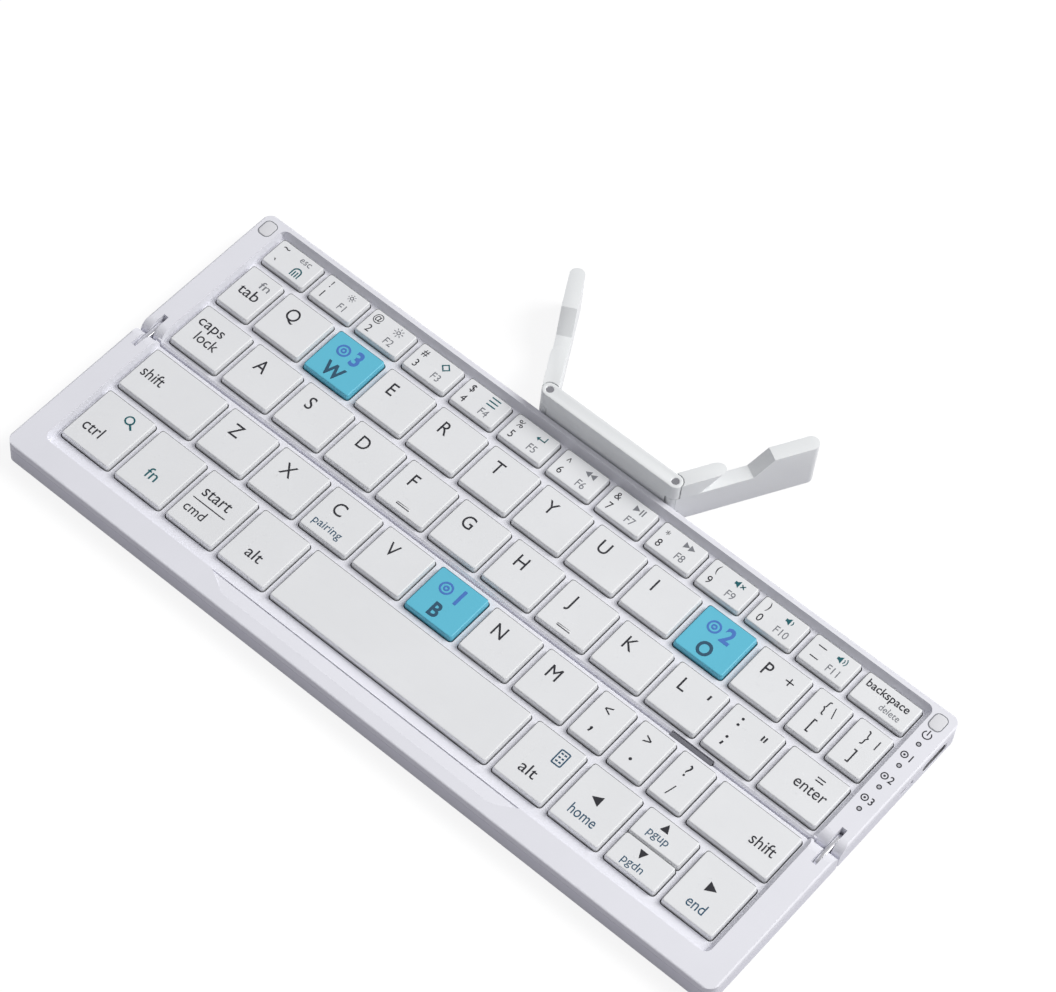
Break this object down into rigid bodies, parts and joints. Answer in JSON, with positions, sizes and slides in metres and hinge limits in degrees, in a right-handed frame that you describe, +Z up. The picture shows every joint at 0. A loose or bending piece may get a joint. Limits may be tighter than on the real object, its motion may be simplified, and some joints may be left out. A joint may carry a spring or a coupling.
{
  "type": "folding keyboard",
  "caption": "Flat keyboard in two halves that fold face to face on link hinges, with a low stand behind whose swinging wings hold a slim device.",
  "frame": {"origin": "on the desk, under the middle of the open keyboard and its stand", "axes": "+X along the keyboard to the right of its user, +Y from the user to the rear, +Z up"},
  "size_m": [0.208, 0.124, 0.0142],
  "materials": {
    "case_white": "fine matt moulded plastic, white with a faint lavender cast",
    "key_white": "smooth matt keycap plastic",
    "key_teal": "smooth matt keycap plastic",
    "stand_white": "smooth moulded plastic",
    "plate_steel": "satin",
    "dome_silicone": "translucent silicone",
    "board_green": "solder resist",
    "socket_steel": "satin",
    "switch_grey": "matt",
    "lens_clear": "smoked clear plastic",
    "pad_grey": "soft silicone",
    "link_metal": "satin",
    "battery_foil": "laminated foil pouch",
    "ribbon_dark": "polyimide film"
  },
  "bodies": {
    "rear_half": {"rear_top_case": "case_white", "rear_bottom_case": "case_white", "rear_base_plate": "plate_steel", "rear_dome_sheet": "dome_silicone", "main_circuit_board": "board_green", "usb_socket": "socket_steel", "indicator_lenses": "lens_clear", "bumper_pads": "pad_grey", "rear_feet": "pad_grey", "rear_screws": "plate_steel", "rear_hinge_pins": "plate_steel", "stand_bar": "stand_white", "wing_pins": "plate_steel", "flex_ribbon": "ribbon_dark"},
    "link_pair": {"hinge_links": "link_metal"},
    "front_half": {"front_top_case": "case_white", "front_bottom_case": "case_white", "front_base_plate": "plate_steel", "front_dome_sheet": "dome_silicone", "battery": "battery_foil", "front_feet": "pad_grey", "front_screws": "plate_steel", "front_hinge_pins": "plate_steel"},
    "left_wing": {"left_stand_wing": "stand_white"},
    "right_wing": {"right_stand_wing": "stand_white"},
    "power_switch": {"power_slider": "switch_grey"},
    "key_q_body": {"key_q": "key_white"},
    "key_w_body": {"key_w": "key_teal"},
    "key_e_body": {"key_e": "key_white"},
    "key_r_body": {"key_r": "key_white"},
    "key_t_body": {"key_t": "key_white"},
    "key_y_body": {"key_y": "key_white"},
    "key_u_body": {"key_u": "key_white"},
    "key_i_body": {"key_i": "key_white"},
    "key_o_body": {"key_o": "key_teal"},
    "key_p_body": {"key_p": "key_white"},
    "key_a_body": {"key_a": "key_white"},
    "key_s_body": {"key_s": "key_white"},
    "key_d_body": {"key_d": "key_white"},
    "key_f_body": {"key_f": "key_white"},
    "key_g_body": {"key_g": "key_white"},
    "key_h_body": {"key_h": "key_white"},
    "key_j_body": {"key_j": "key_white"},
    "key_k_body": {"key_k": "key_white"},
    "key_l_body": {"key_l": "key_white"},
    "key_z_body": {"key_z": "key_white"},
    "key_x_body": {"key_x": "key_white"},
    "key_c_body": {"key_c": "key_white"},
    "key_v_body": {"key_v": "key_white"},
    "key_b_body": {"key_b": "key_teal"},
    "key_n_body": {"key_n": "key_white"},
    "key_m_body": {"key_m": "key_white"},
    "number_row_keys_body": {"number_row_keys": "key_white"},
    "rear_side_keys_body": {"rear_side_keys": "key_white"},
    "space_bar_body": {"space_bar": "key_white"},
    "front_side_keys_body": {"front_side_keys": "key_white"},
    "arrow_keys_body": {"arrow_keys": "key_white"}
  },
  "joints": [
    {"name": "fold_rear", "type": "hinge", "parent": "rear_half", "child": "link_pair", "pos_m": [0, -0.01356, 0.0042], "axis": [-1, 0, 0], "range_deg": [0, 90], "deforming": ["flex_ribbon"]},
    {"name": "fold_front", "type": "hinge", "parent": "link_pair", "child": "front_half", "pos_m": [0, -0.02036, 0.0042], "axis": [-1, 0, 0], "range_deg": [0, 90], "deforming": ["flex_ribbon"]},
    {"name": "left_wing_swing", "type": "hinge", "parent": "rear_half", "child": "left_wing", "pos_m": [-0.01875, 0.03024, 0.007], "axis": [0, 0, 1], "range_deg": [0, 61]},
    {"name": "right_wing_swing", "type": "hinge", "parent": "rear_half", "child": "right_wing", "pos_m": [0.01875, 0.03024, 0.007], "axis": [0, 0, -1], "range_deg": [0, 61]},
    {"name": "power_switch_slide", "type": "slide", "parent": "rear_half", "child": "power_switch", "axis": [0, 1, 0], "range_m": [0, 0.002]},
    {"name": "key_q_press", "type": "slide", "parent": "rear_half", "child": "key_q_body", "axis": [0, 0, -1], "range_m": [0, 0.0013], "stiffness_N_per_m": 400, "deforming": ["rear_dome_sheet"]},
    {"name": "key_w_press", "type": "slide", "parent": "rear_half", "child": "key_w_body", "axis": [0, 0, -1], "range_m": [0, 0.0013], "stiffness_N_per_m": 400, "deforming": ["rear_dome_sheet"]},
    {"name": "key_e_press", "type": "slide", "parent": "rear_half", "child": "key_e_body", "axis": [0, 0, -1], "range_m": [0, 0.0013], "stiffness_N_per_m": 400, "deforming": ["rear_dome_sheet"]},
    {"name": "key_r_press", "type": "slide", "parent": "rear_half", "child": "key_r_body", "axis": [0, 0, -1], "range_m": [0, 0.0013], "stiffness_N_per_m": 400, "deforming": ["rear_dome_sheet"]},
    {"name": "key_t_press", "type": "slide", "parent": "rear_half", "child": "key_t_body", "axis": [0, 0, -1], "range_m": [0, 0.0013], "stiffness_N_per_m": 400, "deforming": ["rear_dome_sheet"]},
    {"name": "key_y_press", "type": "slide", "parent": "rear_half", "child": "key_y_body", "axis": [0, 0, -1], "range_m": [0, 0.0013], "stiffness_N_per_m": 400, "deforming": ["rear_dome_sheet"]},
    {"name": "key_u_press", "type": "slide", "parent": "rear_half", "child": "key_u_body", "axis": [0, 0, -1], "range_m": [0, 0.0013], "stiffness_N_per_m": 400, "deforming": ["rear_dome_sheet"]},
    {"name": "key_i_press", "type": "slide", "parent": "rear_half", "child": "key_i_body", "axis": [0, 0, -1], "range_m": [0, 0.0013], "stiffness_N_per_m": 400, "deforming": ["rear_dome_sheet"]},
    {"name": "key_o_press", "type": "slide", "parent": "rear_half", "child": "key_o_body", "axis": [0, 0, -1], "range_m": [0, 0.0013], "stiffness_N_per_m": 400, "deforming": ["rear_dome_sheet"]},
    {"name": "key_p_press", "type": "slide", "parent": "rear_half", "child": "key_p_body", "axis": [0, 0, -1], "range_m": [0, 0.0013], "stiffness_N_per_m": 400, "deforming": ["rear_dome_sheet"]},
    {"name": "key_a_press", "type": "slide", "parent": "rear_half", "child": "key_a_body", "axis": [0, 0, -1], "range_m": [0, 0.0013], "stiffness_N_per_m": 400, "deforming": ["rear_dome_sheet"]},
    {"name": "key_s_press", "type": "slide", "parent": "rear_half", "child": "key_s_body", "axis": [0, 0, -1], "range_m": [0, 0.0013], "stiffness_N_per_m": 400, "deforming": ["rear_dome_sheet"]},
    {"name": "key_d_press", "type": "slide", "parent": "rear_half", "child": "key_d_body", "axis": [0, 0, -1], "range_m": [0, 0.0013], "stiffness_N_per_m": 400, "deforming": ["rear_dome_sheet"]},
    {"name": "key_f_press", "type": "slide", "parent": "rear_half", "child": "key_f_body", "axis": [0, 0, -1], "range_m": [0, 0.0013], "stiffness_N_per_m": 400, "deforming": ["rear_dome_sheet"]},
    {"name": "key_g_press", "type": "slide", "parent": "rear_half", "child": "key_g_body", "axis": [0, 0, -1], "range_m": [0, 0.0013], "stiffness_N_per_m": 400, "deforming": ["rear_dome_sheet"]},
    {"name": "key_h_press", "type": "slide", "parent": "rear_half", "child": "key_h_body", "axis": [0, 0, -1], "range_m": [0, 0.0013], "stiffness_N_per_m": 400, "deforming": ["rear_dome_sheet"]},
    {"name": "key_j_press", "type": "slide", "parent": "rear_half", "child": "key_j_body", "axis": [0, 0, -1], "range_m": [0, 0.0013], "stiffness_N_per_m": 400, "deforming": ["rear_dome_sheet"]},
    {"name": "key_k_press", "type": "slide", "parent": "rear_half", "child": "key_k_body", "axis": [0, 0, -1], "range_m": [0, 0.0013], "stiffness_N_per_m": 400, "deforming": ["rear_dome_sheet"]},
    {"name": "key_l_press", "type": "slide", "parent": "rear_half", "child": "key_l_body", "axis": [0, 0, -1], "range_m": [0, 0.0013], "stiffness_N_per_m": 400, "deforming": ["rear_dome_sheet"]},
    {"name": "number_row_keys_press", "type": "slide", "parent": "rear_half", "child": "number_row_keys_body", "axis": [0, 0, -1], "range_m": [0, 0.0013], "stiffness_N_per_m": 5200, "deforming": ["rear_dome_sheet"]},
    {"name": "rear_side_keys_press", "type": "slide", "parent": "rear_half", "child": "rear_side_keys_body", "axis": [0, 0, -1], "range_m": [0, 0.0013], "stiffness_N_per_m": 2400, "deforming": ["rear_dome_sheet"]},
    {"name": "key_z_press", "type": "slide", "parent": "front_half", "child": "key_z_body", "axis": [0, 0, -1], "range_m": [0, 0.0013], "stiffness_N_per_m": 400, "deforming": ["front_dome_sheet"]},
    {"name": "key_x_press", "type": "slide", "parent": "front_half", "child": "key_x_body", "axis": [0, 0, -1], "range_m": [0, 0.0013], "stiffness_N_per_m": 400, "deforming": ["front_dome_sheet"]},
    {"name": "key_c_press", "type": "slide", "parent": "front_half", "child": "key_c_body", "axis": [0, 0, -1], "range_m": [0, 0.0013], "stiffness_N_per_m": 400, "deforming": ["front_dome_sheet"]},
    {"name": "key_v_press", "type": "slide", "parent": "front_half", "child": "key_v_body", "axis": [0, 0, -1], "range_m": [0, 0.0013], "stiffness_N_per_m": 400, "deforming": ["front_dome_sheet"]},
    {"name": "key_b_press", "type": "slide", "parent": "front_half", "child": "key_b_body", "axis": [0, 0, -1], "range_m": [0, 0.0013], "stiffness_N_per_m": 400, "deforming": ["front_dome_sheet"]},
    {"name": "key_n_press", "type": "slide", "parent": "front_half", "child": "key_n_body", "axis": [0, 0, -1], "range_m": [0, 0.0013], "stiffness_N_per_m": 400, "deforming": ["front_dome_sheet"]},
    {"name": "key_m_press", "type": "slide", "parent": "front_half", "child": "key_m_body", "axis": [0, 0, -1], "range_m": [0, 0.0013], "stiffness_N_per_m": 400, "deforming": ["front_dome_sheet"]},
    {"name": "space_bar_press", "type": "slide", "parent": "front_half", "child": "space_bar_body", "axis": [0, 0, -1], "range_m": [0, 0.0013], "stiffness_N_per_m": 400, "deforming": ["front_dome_sheet"]},
    {"name": "front_side_keys_press", "type": "slide", "parent": "front_half", "child": "front_side_keys_body", "axis": [0, 0, -1], "range_m": [0, 0.0013], "stiffness_N_per_m": 4000, "deforming": ["front_dome_sheet"]},
    {"name": "arrow_keys_press", "type": "slide", "parent": "front_half", "child": "arrow_keys_body", "axis": [0, 0, -1], "range_m": [0, 0.0013], "stiffness_N_per_m": 1600, "deforming": ["front_dome_sheet"]}
  ]
}
